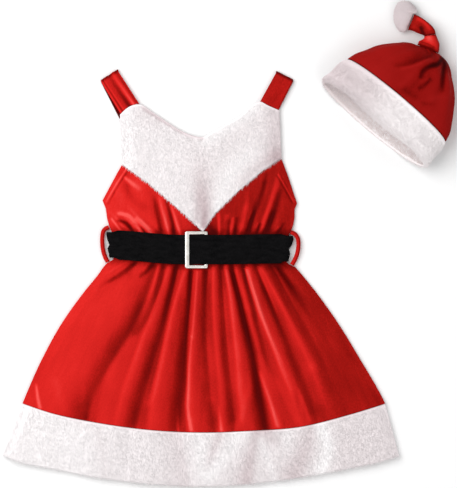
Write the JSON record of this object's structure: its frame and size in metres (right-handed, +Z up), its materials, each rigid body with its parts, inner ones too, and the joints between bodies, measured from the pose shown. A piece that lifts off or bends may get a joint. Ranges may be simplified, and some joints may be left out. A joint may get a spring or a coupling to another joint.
{
  "type": "baby santa dress with hat",
  "caption": "Infant's red velour dress with white plush bib and hem band, black belt with a slide buckle, and a matching hat with a knot and plush tip, laid out flat.",
  "frame": {"origin": "on the surface that the set lies on, under the middle of the set's box", "axes": "+Y towards the neck of the dress, +X to the right as seen from above with the front up, +Z up from the surface"},
  "size_m": [0.4998, 0.5337, 0.053],
  "materials": {
    "red_velour": "short pile with a soft sheen",
    "white_plush": "deep matt pile",
    "black_velvet": "matt pile",
    "silver_metal": "satin"
  },
  "bodies": {
    "root": {"bib_front": "white_plush", "hem_front": "white_plush", "hem_back": "white_plush", "hat_band": "white_plush", "hat_tip": "white_plush", "bodice_front_left": "red_velour", "bodice_front_right": "red_velour", "bodice_back": "red_velour", "skirt_front": "red_velour", "skirt_back": "red_velour", "strap_left": "red_velour", "strap_right": "red_velour", "belt_loop_left": "red_velour", "belt_loop_right": "red_velour", "hat_crown": "red_velour", "hat_knot": "red_velour", "hat_tail": "red_velour", "belt_front": "black_velvet", "belt_back": "black_velvet", "buckle": "silver_metal"}
  },
  "joints": []
}
